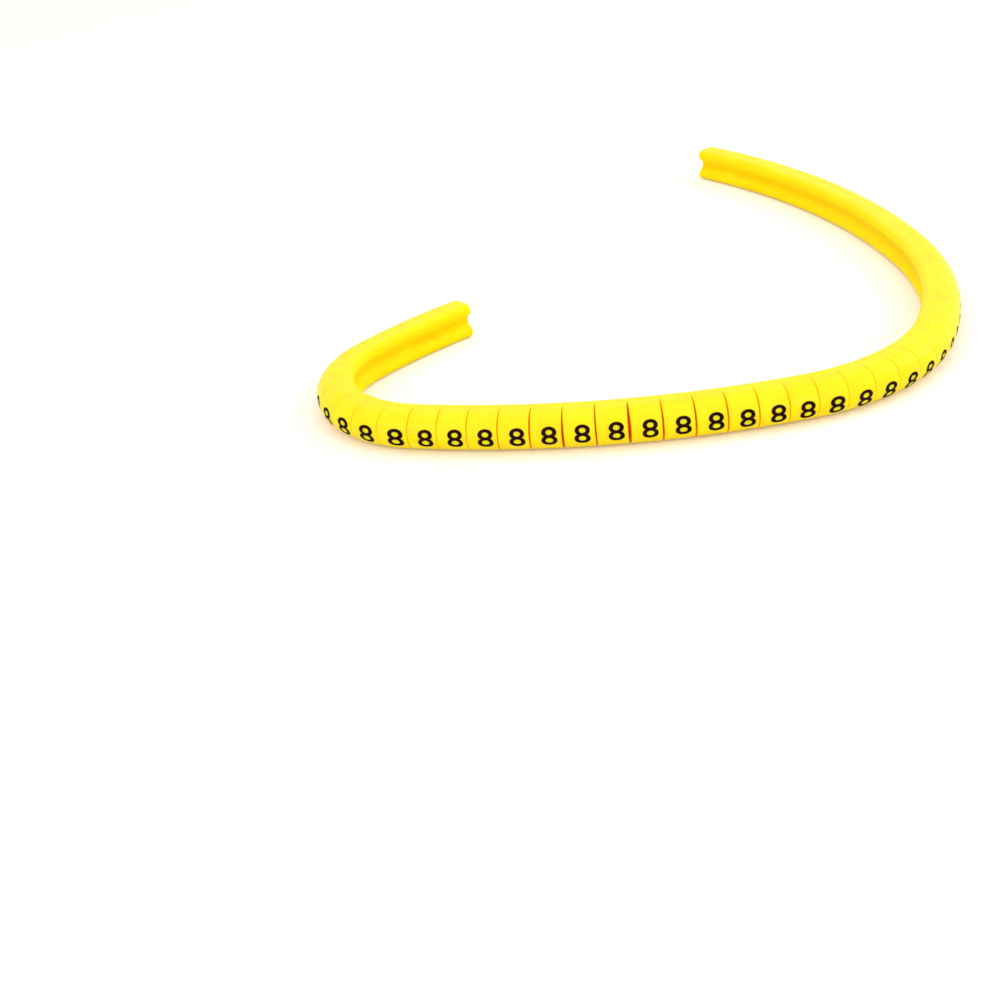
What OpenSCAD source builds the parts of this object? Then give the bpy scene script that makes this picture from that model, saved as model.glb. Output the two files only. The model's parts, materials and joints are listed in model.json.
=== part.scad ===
// Cable marker strip: a hollow soft-plastic profile, part-cut into a row of
// sleeves that stay joined along their base, lying on its side in a loose curl.
// Each sleeve is torn off at its cuts and slid over a wire, printed crown outwards.

/* [Sleeves] */
// Length of one sleeve along the middle line of the strip, between its cuts
sleeve_l = 4.35; // [3.4:0.05:6]

/* [Section] */
// Width of the strip between its two flat sides
strip_w = 6.2; // [5.6:0.1:7.5]
// Depth of the strip, from the crown to the tips of the base ridges
strip_d = 6.3; // [5.8:0.1:7.5]
// Thickness of the wall round the wire passage
wall = 0.9; // [0.6:0.05:1.1]
// Radius of the two rounded ridges along the base
ridge_r = 1.1; // [0.9:0.05:1.3]
// Depth of the groove between the ridges
groove_d = 1.1; // [0.7:0.05:1.3]

/* [Cuts] */
// Depth of each cut, measured from the crown
cut_d = 4.1; // [2.5:0.1:4.5]
// Width of a cut at its root
cut_root_w = 0.08; // [0.06:0.02:0.3]
// Width at the crown of a cut that is nearly shut
cut_shut_w = 0.15; // [0.1:0.05:0.6]
// Width at the crown of the widest cut, at the middle of the front run
cut_gape_w = 0.55; // [0.3:0.05:0.8]

/* [Curl] */
// Sleeves in the short tail at the first end
tail_sleeves = 5; // [2:1:8]
// Angle that the tail turns through
tail_turn = 12; // [4:1:30]
// Sleeves in the tight hook
hook_sleeves = 8; // [7:1:12]
// Angle that the hook turns through
hook_turn = 112; // [60:1:120]
// Sleeves in the long front run
front_sleeves = 13; // [8:1:20]
// Angle that the front run turns through
front_turn = 30; // [10:1:50]
// Sleeves in the bend at the far side
bend_sleeves = 7; // [5:1:12]
// Angle that the bend turns through
bend_turn = 55; // [30:1:80]
// Sleeves in the back run
back_sleeves = 9; // [4:1:16]
// Angle that the back run turns through
back_turn = 30; // [10:1:50]
// Sleeves in the run to the second end
end_sleeves = 16; // [4:1:20]
// Angle that the run to the second end turns through
end_turn = 32; // [10:1:50]
// Direction in which the tail sets out, seen from above
tail_heading = 217; // [0:1:359]

/* [Hidden] */
$fa = 4;
$fs = 0.15;

// The curl as stretches of constant bend, each a whole number of sleeves
sleeves = [tail_sleeves, hook_sleeves, front_sleeves, bend_sleeves, back_sleeves, end_sleeves];
turns = [tail_turn, hook_turn, front_turn, bend_turn, back_turn, end_turn];
last = len(sleeves) - 1;
front = 2;
radii = [for (i = [0:last]) cut_place(i, sleeves[i]) / (turns[i] * PI / 180)];

// Width at the crown of the cut after a stretch's sleeve n; cuts gape along the front run
function cut_face_w(i, n) = i == front
    ? cut_shut_w + (cut_gape_w - cut_shut_w) * pow(sin(180 * n / (sleeves[i] + 1)), 2)
    : cut_shut_w;

// Place of that cut along the stretch: the sleeves are all alike, and every cut adds its width
function cut_place(i, n) = n == 0 ? 0 : cut_place(i, n - 1) + sleeve_l + cut_face_w(i, n);

// Direction, start point and bend centre of every stretch; the curl turns left
function heading(i) = i == 0 ? tail_heading : heading(i - 1) + turns[i - 1];
function on_arc(i, r, angle) = bend_centre(i) + r * [sin(heading(i) + angle), -cos(heading(i) + angle)];
function start_point(i) = i == 0 ? [0, 0] : on_arc(i - 1, radii[i - 1], turns[i - 1]);
function bend_centre(i) = start_point(i) + radii[i] * [-sin(heading(i)), cos(heading(i))];

// Half width, and reach of the base inwards from the middle line
half_w = strip_w / 2;
base_d = strip_d - half_w;

// The groove's arc runs into both ridges and crosses them by a hair, for a clean edge
ridge_y = half_w - ridge_r;
ridge_x = ridge_r - base_d;
groove_set = (ridge_y * ridge_y - groove_d * groove_d) / (2 * groove_d);
groove_x = ridge_x - groove_set;
groove_bite = 0.03;
groove_r = groove_d + groove_set - ridge_r + groove_bite;

// Clearance by which a cutter runs past the surface that it cuts
cut_past = 1;
// Root of the cuts, and how far a web is set in from the strip's faces and reaches into its ends
cut_root_x = half_w - cut_d;
web_inset = 0.02;
web_seat = 0.2;

// Extreme points of the curl: the corners of its stretches, and where an arc faces along an axis
function quarter_turns(i) = [
    for (q = [0:90:heading(last) + end_turn])
        if (q > heading(i) && q < heading(i) + turns[i]) q - heading(i)
];
reach = [for (i = [0:last]) for (a = concat([0, turns[i]], quarter_turns(i)))
    for (r = [radii[i] - base_d, radii[i] + half_w]) on_arc(i, r, a)];
xs = [for (p = reach) p.x];
ys = [for (p = reach) p.y];
middle = [(min(xs) + max(xs)) / 2, (min(ys) + max(ys)) / 2];

// Outer outline set in by a distance, crown towards +X, middle line at the origin
module outer_outline(inset) {
    crown_r = half_w - inset;
    difference() {
        union() {
            intersection() {
                circle(r = crown_r);
                translate([0, -crown_r]) square([crown_r, 2 * crown_r]);
            }
            translate([ridge_x, -crown_r]) square([-ridge_x, 2 * crown_r]);
            for (side = [-1, 1])
                translate([ridge_x, side * ridge_y])
                    intersection() {
                        circle(r = ridge_r - inset);
                        translate([-ridge_r, -ridge_r]) square([ridge_r, 2 * ridge_r]);
                    }
            polygon([[ridge_x, -ridge_y], [ridge_x, ridge_y], [groove_x, 0]]);
        }
        translate([groove_x, 0]) circle(r = groove_r + inset);
    }
}

// Wire passage, the outline set in by the wall; the groove makes it a crescent
module bore_outline(inset) {
    bore_r = half_w - wall + inset;
    floor_x = wall - base_d - inset;
    difference() {
        union() {
            intersection() {
                circle(r = bore_r);
                translate([0, -bore_r]) square([bore_r, 2 * bore_r]);
            }
            translate([floor_x, -bore_r]) square([-floor_x, 2 * bore_r]);
        }
        translate([groove_x, 0]) circle(r = groove_r + wall - inset);
    }
}

// Section of the hollow strip, standing on its side
module strip_section(inset = 0) {
    translate([0, half_w])
        difference() {
            outer_outline(inset);
            bore_outline(inset);
        }
}

// One stretch of the strip, bent about its centre, from cut to cut
module stretch(i) {
    trim = cut_root_w / 2 / radii[i] * 180 / PI;
    trim_start = i == 0 ? 0 : trim;
    trim_end = i == last ? 0 : trim;
    translate(bend_centre(i))
        rotate_extrude(angle = turns[i] - trim_start - trim_end, start = heading(i) - 90 + trim_start)
            translate([radii[i], 0]) strip_section();
}

// Web that carries the base across the cut at the end of a stretch
module web(i) {
    translate(on_arc(i, radii[i], turns[i]))
        rotate(heading(i) + turns[i] - 90)
            rotate([90, 0, 0])
                linear_extrude(height = cut_root_w + 2 * web_seat, center = true)
                    intersection() {
                        strip_section(web_inset);
                        translate([-strip_d, 0]) square([strip_d + cut_root_x - web_inset, strip_w]);
                    }
}

// A cut seen along the strip's width: narrow at its root, wider at the crown
module cut(face_w) {
    flare = (face_w - cut_root_w) * (cut_d + cut_past) / cut_d;
    past_w = cut_root_w + flare;
    translate([0, 0, -cut_past])
        linear_extrude(height = strip_w + 2 * cut_past)
            polygon([[cut_root_x, -cut_root_w / 2], [half_w + cut_past, -past_w / 2],
                     [half_w + cut_past, past_w / 2], [cut_root_x, cut_root_w / 2]]);
}

// The cuts of one stretch, at the end of every sleeve but the strip's last
module stretch_cuts(i) {
    count = i == last ? sleeves[i] - 1 : sleeves[i];
    for (n = [1:count])
        translate(bend_centre(i))
            rotate(heading(i) - 90 + cut_place(i, n) / radii[i] * 180 / PI)
                translate([radii[i], 0])
                    cut(cut_face_w(i, n));
}

// The whole strip, one piece, lying on its side with its bounds centred on the origin
module marker_strip() {
    color("gold")
        translate([-middle.x, -middle.y, 0])
            difference() {
                union() {
                    for (i = [0:last]) stretch(i);
                    for (i = [0:last - 1]) web(i);
                }
                for (i = [0:last]) stretch_cuts(i);
            }
}

marker_strip();
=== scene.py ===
"""A strip of soft yellow cable marker sleeves, lying curled on a pale floor."""
import json
import math
import random

import bmesh
import bpy
from mathutils import Matrix, Vector


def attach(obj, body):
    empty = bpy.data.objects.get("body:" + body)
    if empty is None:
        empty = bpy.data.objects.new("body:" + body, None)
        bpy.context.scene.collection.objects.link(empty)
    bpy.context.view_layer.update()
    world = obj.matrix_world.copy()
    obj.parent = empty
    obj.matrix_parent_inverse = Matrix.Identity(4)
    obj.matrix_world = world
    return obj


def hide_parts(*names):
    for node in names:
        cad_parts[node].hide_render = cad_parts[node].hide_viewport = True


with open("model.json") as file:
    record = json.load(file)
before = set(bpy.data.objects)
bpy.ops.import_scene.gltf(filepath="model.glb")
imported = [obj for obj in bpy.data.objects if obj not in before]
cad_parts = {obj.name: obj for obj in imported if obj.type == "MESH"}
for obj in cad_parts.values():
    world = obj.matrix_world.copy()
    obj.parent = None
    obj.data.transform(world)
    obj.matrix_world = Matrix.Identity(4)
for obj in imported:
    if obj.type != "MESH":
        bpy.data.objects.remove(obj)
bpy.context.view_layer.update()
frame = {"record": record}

# Sizes are in millimetres and degrees, up to where they are put into the scene, which is in metres
MM = 0.001

# The strip's section and its cuts, as in the solids
SLEEVE_L = 4.35
STRIP_W = 6.2
STRIP_D = 6.3
WALL = 0.9
RIDGE_R = 1.1
GROOVE_D = 1.1
GROOVE_BITE = 0.03
CUT_D = 4.1
CUT_ROOT_W = 0.08
CUT_SHUT_W = 0.15
CUT_GAPE_W = 0.55
HALF_W = STRIP_W / 2
BASE_D = STRIP_D - HALF_W
CUT_ROOT = HALF_W - CUT_D

# Sleeves in each stretch of the curl, and the angle that it turns through, as in the solids
TAIL = (5, 12)
HOOK = (8, 112)
FRONT_RUN = (13, 30)
BEND = (7, 55)
BACK_RUN = (9, 30)
END_RUN = (16, 32)
STRETCHES = (TAIL, HOOK, FRONT_RUN, BEND, BACK_RUN, END_RUN)
TAIL_HEADING = 217
SLEEVES = sum(count for count, turn in STRETCHES)
FRONT_SLEEVES = FRONT_RUN[0]
BEFORE_FRONT = TAIL[0] + HOOK[0]
BEFORE_END_RUN = SLEEVES - END_RUN[0]

# The mount at the tail's end of the wire passage lies this far outwards of the strip's middle line
PASSAGE_OUT = 0.4

# Steps along the two outlines of the section; the skin's has as many in all as the wire passage's
CROWN_STEPS = 10
SIDE_STEPS = 2
RIDGE_STEPS = 10
GROOVE_STEPS = 4
PASSAGE_SIDE_STEPS = 4
PASSAGE_FLOOR_STEPS = 2
HUMP_STEPS = 10

# A sleeve is first made straight, about its middle, with the width of a shut cut between borders
SLEEVE_BORDER = (SLEEVE_L + CUT_SHUT_W) / 2
SLEEVE_STEPS = 5
LIP_ROUND = 0.07
END_ROUND = 0.12
ROUND_STEPS = 2
SHARP_ANGLE = 35

# The soft lips swell into the cuts, and each sleeve leans a little within what they leave open
SHUT_GAP = 0.06
GAPE_SHARE = 0.82
LEAN_SHARE = 0.2
LEAN_SEED = 3

# The skin is set in from the solids, so that the print, sunk into it and proud of it, stays within them
PRINT_PROUD = 0.02
PRINT_SUNK = 0.03
SKIN_SET_IN = 0.03
SKIN_R = HALF_W - SKIN_SET_IN

# The digit, its place on a sleeve, and how far that strays
PRINT_DIGIT = "8"
PRINT_H = 3.1
PRINT_STRETCH = 1.2
PRINT_BOLD = 0.01
PRINT_SHIFT = 0.5
PRINT_RISE = 0.1
HOOK_DROP = 0.5
BEND_DROP = 1.3
STRAY_ALONG = 0.06
STRAY_UP = 0.05
STRAY_TURN = 1.2
STRAY_SEED = 7

# The digit's curves, and the slices to each side of its middle that let it follow the crown
DIGIT_CURVE_STEPS = 6
PRINT_SLICE = 0.4
SLICES_ALONG = 1
SLICES_UP = 3

# How near to each other points count as one: on one piece, and at the seam between two sleeves
TOUCH = 1e-5
SEAM_REACH = 0.002

# The camera, at the photograph's angle
CAMERA_PLACE = Vector((-27.21, -308.32, 117.65))
CAMERA_AIM = Vector((-27.21, -77.19, 0))
CAMERA_ROLL = -6.09
CAMERA_LENS = 65.11
CAMERA_SENSOR = 36
CAMERA_NEAR = 10

# Each lamp's place, its size and its power in watts; all of them face the middle of the curl
LAMPS = {
    "top_lamp": ((0, 0, 700), 600, 0.8),
    "left_lamp": ((-380, -380, 200), 400, 0.65),
    "front_lamp": ((200, -440, 180), 350, 0.55),
    "right_lamp": ((500, 100, 300), 300, 0.8),
}

# The floor reaches this far from the middle, and fades to white between the other two distances
FLOOR_REACH = 3000
FADE_FROM = 150
FADE_TO = 600


def link_piece(name, data):
    """Put finished data into the scene, as an object at the origin."""
    piece = bpy.data.objects.new(name, data)
    bpy.context.scene.collection.objects.link(piece)
    return piece


def make_mesh(bm, name):
    """Turn a finished bmesh into a mesh."""
    mesh = bpy.data.meshes.new(name)
    bm.to_mesh(mesh)
    bm.free()
    return mesh


def only(kind, items):
    """The items of one kind among those that an operator gives."""
    return [item for item in items if isinstance(item, kind)]


def extrude(bm, geom, shift):
    """Extrude faces, move what has grown, and give it."""
    grown = bmesh.ops.extrude_face_region(bm, geom=geom)["geom"]
    bmesh.ops.translate(bm, verts=only(bmesh.types.BMVert, grown), vec=shift)
    return grown


def outwards(heading):
    """The direction out of the curl, where the strip has a heading in radians; the curl turns left."""
    return Vector((math.sin(heading), -math.cos(heading)))


def cut_face_w(cut):
    """Width at the crown of a cut, counted from the tail; the cuts gape along the front run."""
    in_run = cut - BEFORE_FRONT
    if in_run < 1 or in_run > FRONT_SLEEVES:
        return CUT_SHUT_W
    return CUT_SHUT_W + (CUT_GAPE_W - CUT_SHUT_W) * math.sin(math.pi * in_run / (FRONT_SLEEVES + 1)) ** 2


# Place of every cut along the strip, from the tail's end to the far end: every cut adds its width
CUT_PLACES = [0.0]
for cut_number in range(1, SLEEVES + 1):
    CUT_PLACES.append(CUT_PLACES[-1] + SLEEVE_L + cut_face_w(cut_number))


def lay_out_curl():
    """Each stretch of the curl: where it starts along the strip, its bend centre, radius and heading."""
    mouth = next(mount for mount in frame["record"]["mounts"] if mount["name"] == "wire_passage_tail")
    heading = math.radians(TAIL_HEADING)
    start = Vector(mouth["pos_m"][:2]) / MM - PASSAGE_OUT * outwards(heading)
    stretches = []
    passed = 0
    for count, turn in STRETCHES:
        along = CUT_PLACES[passed]
        radius = (CUT_PLACES[passed + count] - along) / math.radians(turn)
        centre = start - radius * outwards(heading)
        stretches.append((along, centre, radius, heading))
        heading += math.radians(turn)
        start = centre + radius * outwards(heading)
        passed += count
    return stretches


CURL = lay_out_curl()


def bend_to_curl(straight):
    """Take a point of the straight strip, as along, outwards and up from its middle, into the curl."""
    passed = [stretch for stretch in CURL if stretch[0] <= straight.x + TOUCH]
    along, centre, radius, heading = passed[-1] if passed else CURL[0]
    angle = heading + (straight.x - along) / radius
    spot = centre + (radius + straight.y) * outwards(angle)
    return Vector((spot.x, spot.y, straight.z + HALF_W)) * MM


def draw_outline(bm, first, moves):
    """Draw half an outline as edges in even steps: straight to a point, or by an angle about a centre."""
    tip = bm.verts.new((0, *first))
    for target, turn, steps in moves:
        if turn is None:
            stride = (Vector((0, *target)) - tip.co) / steps
            for step in range(steps):
                drawn = bmesh.ops.extrude_vert_indiv(bm, verts=[tip])
                place = tip.co + stride
                tip = drawn["verts"][0]
                tip.co = place
        else:
            drawn = bmesh.ops.spin(bm, geom=[tip], cent=(0, *target), axis=(1, 0, 0),
                                   angle=math.radians(turn), steps=steps)
            tip = only(bmesh.types.BMVert, drawn["geom_last"])[0]


def corner_angle(beside, other_beside, opposite):
    """Angle between two sides of a triangle."""
    share = (beside ** 2 + other_beside ** 2 - opposite ** 2) / (2 * beside * other_beside)
    return math.degrees(math.acos(min(1, share)))


def draw_section(bm, cut_layer):
    """The hollow section as a ring of faces: round crown outwards, two ridges and a groove inwards."""
    ridge_z = HALF_W - RIDGE_R
    ridge_u = RIDGE_R - BASE_D
    ridge_r = RIDGE_R - SKIN_SET_IN
    groove_set = (ridge_z ** 2 - GROOVE_D ** 2) / (2 * GROOVE_D)
    groove_u = ridge_u - groove_set
    groove_r = GROOVE_D + groove_set - RIDGE_R + GROOVE_BITE

    # The groove's arc meets the ridge's at a corner of the triangle that it makes with their centres
    apart = math.hypot(ridge_z, groove_set)
    slant = math.degrees(math.atan2(groove_set, ridge_z))
    ridge_turn = 180 - slant - corner_angle(apart, ridge_r, groove_r)
    groove_turn = 90 - slant - corner_angle(apart, groove_r, ridge_r)
    draw_outline(bm, (SKIN_R, 0), (
        ((0, 0), 90, CROWN_STEPS),
        ((CUT_ROOT, SKIN_R), None, SIDE_STEPS),
        ((ridge_u, SKIN_R), None, SIDE_STEPS),
        ((ridge_u, ridge_z), ridge_turn, RIDGE_STEPS),
        ((groove_u, 0), -groove_turn, GROOVE_STEPS),
    ))

    # The wire passage, which the groove makes a crescent, counts as cut all round, so it takes the cuts'
    # painted orange shade and painted glow
    skin_count = len(bm.verts)
    passage_r = HALF_W - WALL
    floor_u = WALL - BASE_D
    hump_r = groove_r + WALL
    hump_turn = math.degrees(math.acos((floor_u - groove_u) / hump_r))
    hump_z = math.sqrt(hump_r ** 2 - (floor_u - groove_u) ** 2)
    draw_outline(bm, (passage_r, 0), (
        ((0, 0), 90, CROWN_STEPS),
        ((CUT_ROOT, passage_r), None, SIDE_STEPS),
        ((floor_u, passage_r), None, PASSAGE_SIDE_STEPS),
        ((floor_u, hump_z), None, PASSAGE_FLOOR_STEPS),
        ((groove_u, 0), -hump_turn, HUMP_STEPS),
    ))
    bm.verts.ensure_lookup_table()
    for vert in bm.verts[skin_count:]:
        vert[cut_layer] = 1.0
    bmesh.ops.mirror(bm, geom=bm.verts[:] + bm.edges[:], matrix=Matrix.Identity(4),
                     merge_dist=TOUCH, axis="Z")
    bmesh.ops.bridge_loops(bm, edges=bm.edges[:])


def is_skin(place):
    """Whether a point of the crown or the flat sides lies in the outer half of the wall."""
    return math.hypot(max(place.y, 0), place.z) > HALF_W - WALL / 2


def is_across(item, end):
    """Whether an edge or a face lies square across the sleeve at an end."""
    return all(abs(vert.co.x - end) < TOUCH for vert in item.verts)


def run_base_on(bm, end):
    """Past a cut only the base runs on, as far as the middle of the cut, and is left open there."""
    base = [face for face in bm.faces if is_across(face, end) and face.calc_center_median().y < CUT_ROOT]
    base_edges = dict.fromkeys(edge for face in base for edge in face.edges)
    grown = extrude(bm, base + list(base_edges), (math.copysign(CUT_ROOT_W / 2, end), 0, 0))
    bmesh.ops.delete(bm, geom=only(bmesh.types.BMFace, grown), context="FACES")


def round_rim(bm, end, has_cut):
    """Round the outer lip of a cut, or the rim of a cut-off end along the crown and the flat sides."""
    rim = [edge for edge in bm.edges
           if is_across(edge, end)
           and all(is_skin(vert.co) for vert in edge.verts)
           and (not has_cut or all(vert.co.y > CUT_ROOT - TOUCH for vert in edge.verts))
           and len({is_across(face, end) for face in edge.link_faces}) == 2]
    bmesh.ops.bevel(bm, geom=rim, offset=LIP_ROUND if has_cut else END_ROUND, offset_type="OFFSET",
                    segments=ROUND_STEPS, profile=0.5, affect="EDGES", material=-1, clamp_overlap=True)


def make_sleeve(cut_before, cut_after):
    """One straight sleeve about its middle, open at its base where it runs on past a cut."""
    bm = bmesh.new()
    cut_layer = bm.verts.layers.float.new("cut")
    draw_section(bm, cut_layer)
    low = -SLEEVE_BORDER + (CUT_ROOT_W / 2 if cut_before else 0)
    high = SLEEVE_BORDER - (CUT_ROOT_W / 2 if cut_after else 0)
    bmesh.ops.translate(bm, verts=bm.verts[:], vec=(low, 0, 0))
    extrude(bm, bm.faces[:], (high - low, 0, 0))

    ends = ((low, cut_before), (high, cut_after))
    cut_ends = [end for end, has_cut in ends if has_cut]
    for end in cut_ends:
        run_base_on(bm, end)
    for end, has_cut in ends:
        round_rim(bm, end, has_cut)
    # Faces at a cut, above its root, are marked as cut: they take the painted orange shade and painted glow
    for vert in bm.verts:
        at_cut = any(abs(vert.co.x - end) < TOUCH for end in cut_ends)
        if at_cut and vert.co.y > CUT_ROOT + TOUCH:
            vert[cut_layer] = 1.0

    long_edges = [edge for edge in bm.edges
                  if abs(edge.verts[0].co.x - edge.verts[1].co.x) > SLEEVE_BORDER]
    bmesh.ops.subdivide_edges(bm, edges=long_edges, cuts=SLEEVE_STEPS - 1, use_grid_fill=True)
    return make_mesh(bm, "sleeve")


def lip_gap(cut):
    """What the soft lips of a cut leave open at the crown: they swell into it."""
    return SHUT_GAP + (cut_face_w(cut) - CUT_SHUT_W) * GAPE_SHARE


def cut_half_w(cut, height):
    """Half the open width of a cut at a height between its root and the crown."""
    share = min(max((height - CUT_ROOT) / CUT_D, 0), 1)
    return (CUT_ROOT_W + (lip_gap(cut) - CUT_ROOT_W) * share) / 2


def seat_in_strip(place, number, lean, twist):
    """Take a point of a sleeve to its place in the straight strip; the sleeve leans between its cuts."""
    x, u, z = place
    half = (CUT_PLACES[number + 1] - CUT_PLACES[number]) / 2
    root = CUT_ROOT_W / 2
    cut = number if x < 0 else number + 1
    if 0 < cut < SLEEVES and abs(x) < SLEEVE_BORDER - root / 2:
        x *= (half - cut_half_w(cut, u)) / (SLEEVE_BORDER - root)
        x += (lean + twist * z / HALF_W) * max(u - CUT_ROOT, 0) / CUT_D
    else:
        x *= half / SLEEVE_BORDER
    return Vector((CUT_PLACES[number] + half + x, u, z))


def make_strip():
    """The whole strip: sleeve after sleeve, joined at their bases, bent to the curl."""
    bm = bmesh.new()
    bm.verts.layers.float.new("cut")
    straight_layer = bm.verts.layers.float_vector.new("straight")
    first = make_sleeve(False, True)
    middle = make_sleeve(True, True)
    last = make_sleeve(True, False)
    jitter = random.Random(LEAN_SEED)
    for number in range(SLEEVES):
        room = min(lip_gap(number), lip_gap(number + 1)) * LEAN_SHARE
        lean = jitter.uniform(-room, room)
        twist = jitter.uniform(-room, room)
        sleeve = first if number == 0 else last if number == SLEEVES - 1 else middle
        known = len(bm.verts)
        bm.from_mesh(sleeve)
        bm.verts.ensure_lookup_table()
        for vert in bm.verts[known:]:
            straight = seat_in_strip(vert.co, number, lean, twist)
            vert[straight_layer] = straight
            vert.co = bend_to_curl(straight)
    bmesh.ops.remove_doubles(bm, verts=bm.verts[:], dist=SEAM_REACH * MM)
    bmesh.ops.recalc_face_normals(bm, faces=bm.faces[:])
    for face in bm.faces:
        face.smooth = True
    for sleeve in (first, middle, last):
        bpy.data.meshes.remove(sleeve)
    mesh = make_mesh(bm, "printed_strip")
    mesh.set_sharp_from_angle(angle=math.radians(SHARP_ANGLE))
    return link_piece("marker_sleeves", mesh)


def write_digit():
    """The printed digit as a flat mesh, as the font gives it."""
    text = bpy.data.curves.new("print_digit", "FONT")
    text.body = PRINT_DIGIT
    text.offset = PRINT_BOLD
    text.resolution_u = DIGIT_CURVE_STEPS
    writing = link_piece("print_digit", text)
    bpy.context.view_layer.update()
    seen = writing.evaluated_get(bpy.context.evaluated_depsgraph_get())
    mesh = bpy.data.meshes.new_from_object(seen)
    bpy.data.objects.remove(writing)
    bpy.data.curves.remove(text)
    return mesh


def make_digit():
    """The printed digit at its size, about its middle, sliced so that it can follow the crown."""
    mesh = write_digit()
    bm = bmesh.new()
    bm.from_mesh(mesh)
    bmesh.ops.remove_doubles(bm, verts=bm.verts[:], dist=TOUCH)
    low = Vector([min(vert.co[axis] for vert in bm.verts) for axis in range(3)])
    high = Vector([max(vert.co[axis] for vert in bm.verts) for axis in range(3)])
    bmesh.ops.translate(bm, verts=bm.verts[:], vec=-(low + high) / 2)
    bmesh.ops.scale(bm, verts=bm.verts[:], vec=Vector((PRINT_STRETCH, 1, 1)) * PRINT_H / (high.y - low.y))
    for axis, slices in ((Vector((1, 0, 0)), SLICES_ALONG), (Vector((0, 1, 0)), SLICES_UP)):
        for slice_at in range(-slices, slices + 1):
            bmesh.ops.bisect_plane(bm, geom=bm.verts[:] + bm.edges[:] + bm.faces[:], dist=TOUCH,
                                   plane_co=axis * slice_at * PRINT_SLICE, plane_no=axis)
    extrude(bm, bm.faces[:], (0, 0, PRINT_SUNK + PRINT_PROUD))
    bmesh.ops.translate(bm, verts=bm.verts[:], vec=(0, 0, -PRINT_SUNK))
    bmesh.ops.recalc_face_normals(bm, faces=bm.faces[:])
    bm.to_mesh(mesh)
    bm.free()
    return mesh


def print_drop(number):
    """How far down a sleeve's print sits: the strip twists a little round its hook and its far bend."""
    mid_front = BEFORE_FRONT + FRONT_SLEEVES / 2
    if number < mid_front:
        return HOOK_DROP * math.sin(math.pi * number / mid_front) ** 2
    share = min((number - mid_front) / (BEFORE_END_RUN - mid_front), 1)
    return BEND_DROP * math.sin(math.pi * share) ** 2


def make_print():
    """The same digit on the crown of every sleeve, following its round."""
    digit = make_digit()
    jitter = random.Random(STRAY_SEED)
    bm = bmesh.new()
    for number in range(SLEEVES):
        known = len(bm.verts)
        bm.from_mesh(digit)
        bm.verts.ensure_lookup_table()
        along = (CUT_PLACES[number] + CUT_PLACES[number + 1]) / 2 + PRINT_SHIFT
        rise = PRINT_RISE - print_drop(number)
        stray_along = jitter.uniform(-STRAY_ALONG, STRAY_ALONG)
        stray_up = jitter.uniform(-STRAY_UP, STRAY_UP)
        slip = Vector((stray_along, rise + stray_up, 0))
        turn = Matrix.Rotation(math.radians(jitter.uniform(-STRAY_TURN, STRAY_TURN)), 3, "Z")
        for vert in bm.verts[known:]:
            flat = turn @ vert.co + slip
            angle = flat.y / SKIN_R
            reach = SKIN_R + flat.z
            straight = Vector((along + flat.x, reach * math.cos(angle), reach * math.sin(angle)))
            vert.co = bend_to_curl(straight)
    bpy.data.meshes.remove(digit)
    return link_piece("sleeve_print", make_mesh(bm, "sleeve_print"))


class Shade:
    """A shader socket with arithmetic: an expression on values adds its Math nodes."""

    def __init__(self, tree, socket=None):
        self.tree = tree
        self.socket = socket

    def node(self, kind, settings=None, **sockets):
        """Any other node, with its settings set first, then the values or links of its sockets."""
        made = self.tree.nodes.new(kind)
        for name, value in (settings or {}).items():
            if name == "stops":
                set_stops(made.color_ramp, value)
            else:
                setattr(made, name, value)
        for name, value in sockets.items():
            key = int(name[1:]) if name[1:].isdigit() else name.replace("_", " ")
            if isinstance(value, Shade):
                self.tree.links.new(value.socket, made.inputs[key])
            else:
                made.inputs[key].default_value = value
        return made

    def out(self, made, name=0):
        """One of a node's outputs."""
        return Shade(self.tree, made.outputs[name])

    def maths(self, operation, *values):
        """A Math node on values."""
        inputs = {f"i{index}": value for index, value in enumerate(values)}
        return self.out(self.node("ShaderNodeMath", {"operation": operation}, **inputs))

    def noise(self, place, scale, detail):
        """Cloudy noise, from 0 to 1."""
        return self.out(self.node("ShaderNodeTexNoise", {}, Vector=place, Scale=scale, Detail=detail))

    def ramp(self, share, *stops):
        """A colour from a ramp, whose stops are pairs of place and colour."""
        return self.out(self.node("ShaderNodeValToRGB", {"stops": stops}, Fac=share))

    def mix(self, share, colour, other):
        """A colour between two others, the first where the share is 0."""
        made = self.node("ShaderNodeMix", {"data_type": "RGBA"}, i0=share, i6=colour, i7=other)
        return self.out(made, 2)

    def fade(self, value, low, high):
        """A soft step, from 0 at the low value to 1 at the high one."""
        made = self.node("ShaderNodeMapRange", {"interpolation_type": "SMOOTHSTEP"}, Value=value,
                         From_Min=low, From_Max=high)
        return self.out(made)

    def seen(self):
        """1 for what is seen, straight, in a gloss or through a clear piece, and 0 for other light."""
        path = self.node("ShaderNodeLightPath")
        straight = self.out(path, "Is Camera Ray")
        gloss = self.out(path, "Is Glossy Ray")
        clear = self.out(path, "Is Transmission Ray")
        return self.maths("MAXIMUM", straight, self.maths("MAXIMUM", gloss, clear))

    def __add__(self, other):
        return self.maths("ADD", self, other)

    __radd__ = __add__

    def __mul__(self, other):
        return self.maths("MULTIPLY", self, other)

    __rmul__ = __mul__

    def __sub__(self, other):
        return self.maths("SUBTRACT", self, other)

    def __rsub__(self, other):
        return self.maths("SUBTRACT", other, self)


def set_stops(ramp, stops):
    """Give a colour ramp its stops, as pairs of place and colour."""
    while len(ramp.elements) > len(stops):
        ramp.elements.remove(ramp.elements[-1])
    while len(ramp.elements) < len(stops):
        ramp.elements.new(1.0)
    for element, (place, colour) in zip(ramp.elements, stops):
        element.position = place
        element.color = colour


def new_material(name):
    """An empty material, and a handle on its nodes."""
    material = bpy.data.materials.new(name)
    material.use_nodes = True
    material.node_tree.nodes.clear()
    return material, Shade(material.node_tree)
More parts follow.
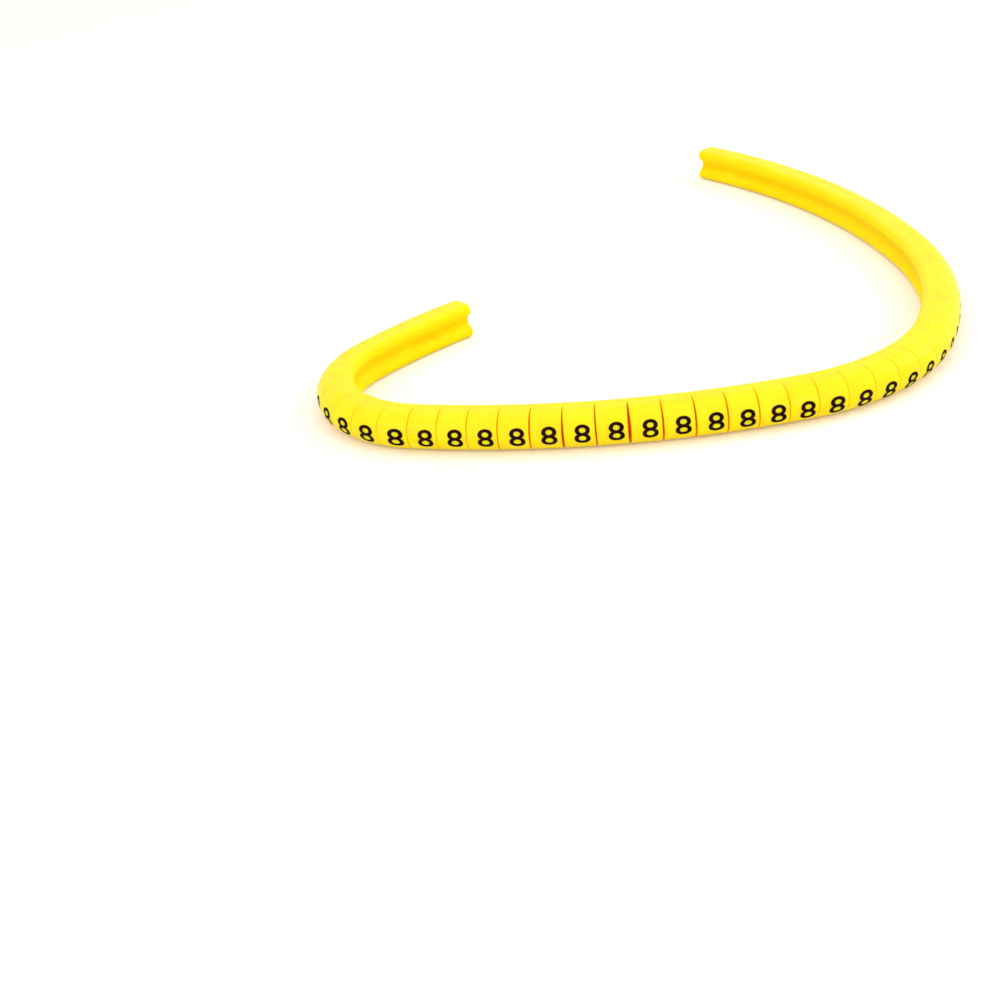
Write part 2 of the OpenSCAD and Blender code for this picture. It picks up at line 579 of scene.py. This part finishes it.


# The colours of the plastic, with painted amber shade for its groove and painted orange shade for its cuts
# and its passage; a painted glow there that stands for the light seeping through it into them; and how far
# light seeps through the plastic
SKIN_DEEP = (0.985, 0.7, 0.002, 1)
SKIN_BRIGHT = (1.0, 0.81, 0.005, 1)
# Painted shade: amber for the groove
GROOVE_PAINTED_SHADE = (1.0, 0.56, 0.001, 1)
# Painted shade: orange for the cut faces and the passage
CUT_PAINTED_SHADE = (1.0, 0.5, 0.001, 1)
# Painted glow in the cuts and passage, standing in for light that seeps through the walls
PAINTED_SEEP_GLOW = (0.09, 0.01, 0, 1)
NO_LIGHT = (0, 0, 0, 1)
SEEP_DEPTH = 1.2
SEEP_RADII = (1.0, 0.35, 0.05)
# How strongly the groove's painted amber shade is laid on
GROOVE_SHADE_SHARE = 0.6

# Its patterns: clouds and grain to the metre, draw lines long along the strip and narrow across it
CLOUD_SCALE = 240.0
GRAIN_SCALE = 2600.0
DRAW_LINE_SCALE = 1.6
DRAWN_LONG = (0.05, 3.0, 3.0)

# Its surface: the depth of lines and grain, and what the draw lines add to the least roughness and polish
LINE_DEPTH = 0.05
LINE_STRENGTH = 0.45
LINE_SHARE = 0.7
PLASTIC_SHEEN = 0.03
LEAST_ROUGH = 0.28
LINES_ROUGH = 0.3
LEAST_POLISH = 0.1
LINES_POLISH = 0.35
POLISH_ROUGH = 0.3


def soft_pvc():
    """Soft yellow plastic: polished crown and flat sides, painted amber shade in the groove, painted orange
    shade and a painted glow in the cuts and passage, faint draw lines.
    """
    material, shade = new_material("soft_pvc")
    place = shade.out(shade.node("ShaderNodeTexCoord"), "Object")
    strip_place = shade.out(shade.node("ShaderNodeAttribute", {"attribute_name": "straight"}), "Vector")
    cut = shade.out(shade.node("ShaderNodeAttribute", {"attribute_name": "cut"}), "Fac")

    # Where a point is on the section; the groove's mask, which carries its painted amber shade, runs out a
    # millimetre from its middle
    across = shade.node("ShaderNodeSeparateXYZ", {}, Vector=strip_place)
    base_side = shade.maths("LESS_THAN", shade.out(across, "Y"), CUT_ROOT)
    from_middle = shade.maths("ABSOLUTE", shade.out(across, "Z"))
    groove = shade.maths("MAXIMUM", 1 - from_middle, 0.0) * base_side
    flat_side = shade.fade(from_middle, HALF_W - WALL, HALF_W)
    polish = shade.maths("MAXIMUM", flat_side, 1 - base_side) * (1 - cut)

    drawn = shade.node("ShaderNodeVectorMath", {"operation": "MULTIPLY"}, i0=strip_place, i1=DRAWN_LONG)
    draw_lines = shade.noise(shade.out(drawn), DRAW_LINE_SCALE, detail=5.0)
    cloud = shade.noise(place, CLOUD_SCALE, detail=4.0)
    grain = shade.noise(place, GRAIN_SCALE, detail=2.0)
    skin = shade.ramp(cloud * 0.5 + draw_lines * 0.5, (0.3, SKIN_DEEP), (0.7, SKIN_BRIGHT))
    # Painted shade: the groove is tinted amber, and the cut faces and passage orange
    tint = shade.mix(cut, shade.mix(groove * GROOVE_SHADE_SHARE, skin, GROOVE_PAINTED_SHADE), CUT_PAINTED_SHADE)
    bump = shade.node("ShaderNodeBump", {}, Strength=LINE_STRENGTH, Distance=LINE_DEPTH * MM,
                      Height=draw_lines * LINE_SHARE + grain * (1 - LINE_SHARE))

    # The cuts and passage get a painted glow through the emission, standing in for light seeping through
    # the walls
    plastic = shade.node("ShaderNodeBsdfPrincipled", {}, Base_Color=tint, Normal=shade.out(bump),
                         Roughness=LEAST_ROUGH + draw_lines * LINES_ROUGH,
                         IOR=1.5, Specular_IOR_Level=PLASTIC_SHEEN,
                         Coat_Weight=polish * (LEAST_POLISH + draw_lines * LINES_POLISH),
                         Coat_Roughness=POLISH_ROUGH,
                         Subsurface_Weight=1.0, Subsurface_Radius=SEEP_RADII,
                         Subsurface_Scale=SEEP_DEPTH * MM,
                         Emission_Color=shade.mix(cut, NO_LIGHT, PAINTED_SEEP_GLOW), Emission_Strength=1.0)
    shade.node("ShaderNodeOutputMaterial", {}, Surface=shade.out(plastic))
    material.cycles.emission_sampling = "NONE"
    return material


# The ink where it covers well and less well, its mottle to the metre, and what that adds to its roughness
INK_DENSE = (0.008, 0.0006, 0.001, 1)
INK_THIN = (0.026, 0.0025, 0.002, 1)
INK_SHEEN = 0.03
INK_ROUGH = 0.5
MOTTLE_ROUGH = 0.2
MOTTLE_SCALE = 1500.0


def print_ink():
    """Dark brown-black ink, a little uneven in cover."""
    material, shade = new_material("print_ink")
    place = shade.out(shade.node("ShaderNodeTexCoord"), "Object")
    mottle = shade.noise(place, MOTTLE_SCALE, detail=3.0)
    ink = shade.node("ShaderNodeBsdfPrincipled", {},
                     Base_Color=shade.ramp(mottle, (0.3, INK_DENSE), (0.75, INK_THIN)),
                     Roughness=INK_ROUGH + mottle * MOTTLE_ROUGH, Specular_IOR_Level=INK_SHEEN)
    shade.node("ShaderNodeOutputMaterial", {}, Surface=shade.out(ink))
    return material


# The floor's colour as it is seen and as it lights the strip, and the lift of what is seen
FLOOR_SEEN = (0.94, 0.94, 0.95, 1)
FLOOR_WARM = (0.85, 0.76, 0.6, 1)
LIFT_COLOUR = (1, 0.85, 0.72, 1)
LIFT_SHARE = 0.12
WHITE = (1, 1, 1, 1)


def pale_floor():
    """White floor that keeps the strip's shadow; what is seen of it is lifted, and far off is white."""
    material, shade = new_material("pale_floor")
    seen = shade.seen()
    matt = shade.node("ShaderNodeBsdfDiffuse", {}, Color=shade.mix(seen, FLOOR_WARM, FLOOR_SEEN))
    lift = shade.node("ShaderNodeEmission", {}, Color=LIFT_COLOUR, Strength=seen * LIFT_SHARE)
    near = shade.node("ShaderNodeAddShader", {}, i0=shade.out(matt), i1=shade.out(lift))
    place = shade.out(shade.node("ShaderNodeTexCoord"), "Object")
    reach = shade.node("ShaderNodeVectorMath", {"operation": "LENGTH"}, i0=place)
    away = shade.fade(shade.out(reach, "Value"), FADE_FROM * MM, FADE_TO * MM)
    white = shade.node("ShaderNodeEmission", {}, Color=WHITE, Strength=1.0)
    both = shade.node("ShaderNodeMixShader", {}, i0=away * seen, i1=shade.out(near), i2=shade.out(white))
    shade.node("ShaderNodeOutputMaterial", {}, Surface=shade.out(both))
    return material


def lay_floor():
    """The floor that the strip lies on, which belongs to the stage."""
    bm = bmesh.new()
    bmesh.ops.create_grid(bm, x_segments=1, y_segments=1, size=FLOOR_REACH * MM)
    mesh = make_mesh(bm, "floor")
    mesh.materials.append(pale_floor())
    link_piece("floor", mesh)


# The dome as it lights the strip; it is seen white
DOME_LIGHT = (0.86, 0.815, 0.73, 1)


def light_scene():
    """A pale dome, a broad soft lamp above, and smaller ones low on the left, in front and on the right."""
    world = bpy.data.worlds.new("dome")
    world.use_nodes = True
    world.node_tree.nodes.clear()
    bpy.context.scene.world = world
    shade = Shade(world.node_tree)
    tone = shade.mix(shade.seen(), DOME_LIGHT, WHITE)
    sky = shade.node("ShaderNodeBackground", {}, Color=tone, Strength=1.0)
    shade.node("ShaderNodeOutputWorld", {}, Surface=shade.out(sky))

    for name, (spot, size, power) in LAMPS.items():
        lamp = bpy.data.lights.new(name, "AREA")
        lamp.size = size * MM
        lamp.energy = power
        stand = link_piece(name, lamp)
        stand.location = Vector(spot) * MM
        stand.rotation_euler = (-Vector(spot)).to_track_quat("-Z", "Y").to_euler()
        stand.visible_camera = False


def set_camera():
    """The camera at the photograph's angle, rolled a little."""
    camera = bpy.data.cameras.new("camera")
    camera.sensor_width = CAMERA_SENSOR
    camera.lens = CAMERA_LENS
    camera.clip_start = CAMERA_NEAR * MM
    stand = link_piece("camera", camera)
    turn = (CAMERA_AIM - CAMERA_PLACE).to_track_quat("-Z", "Y").to_matrix().to_4x4()
    roll = Matrix.Rotation(math.radians(CAMERA_ROLL), 4, "Z")
    stand.matrix_world = Matrix.Translation(CAMERA_PLACE * MM) @ turn @ roll
    bpy.context.scene.camera = stand


set_camera()
lay_floor()
light_scene()

strip = make_strip()
strip.data.materials.append(soft_pvc())
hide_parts("marker_strip")
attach(strip, "root")

digits = make_print()
digits.data.materials.append(print_ink())
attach(digits, "root")

bpy.context.scene.view_settings.view_transform = "Standard"
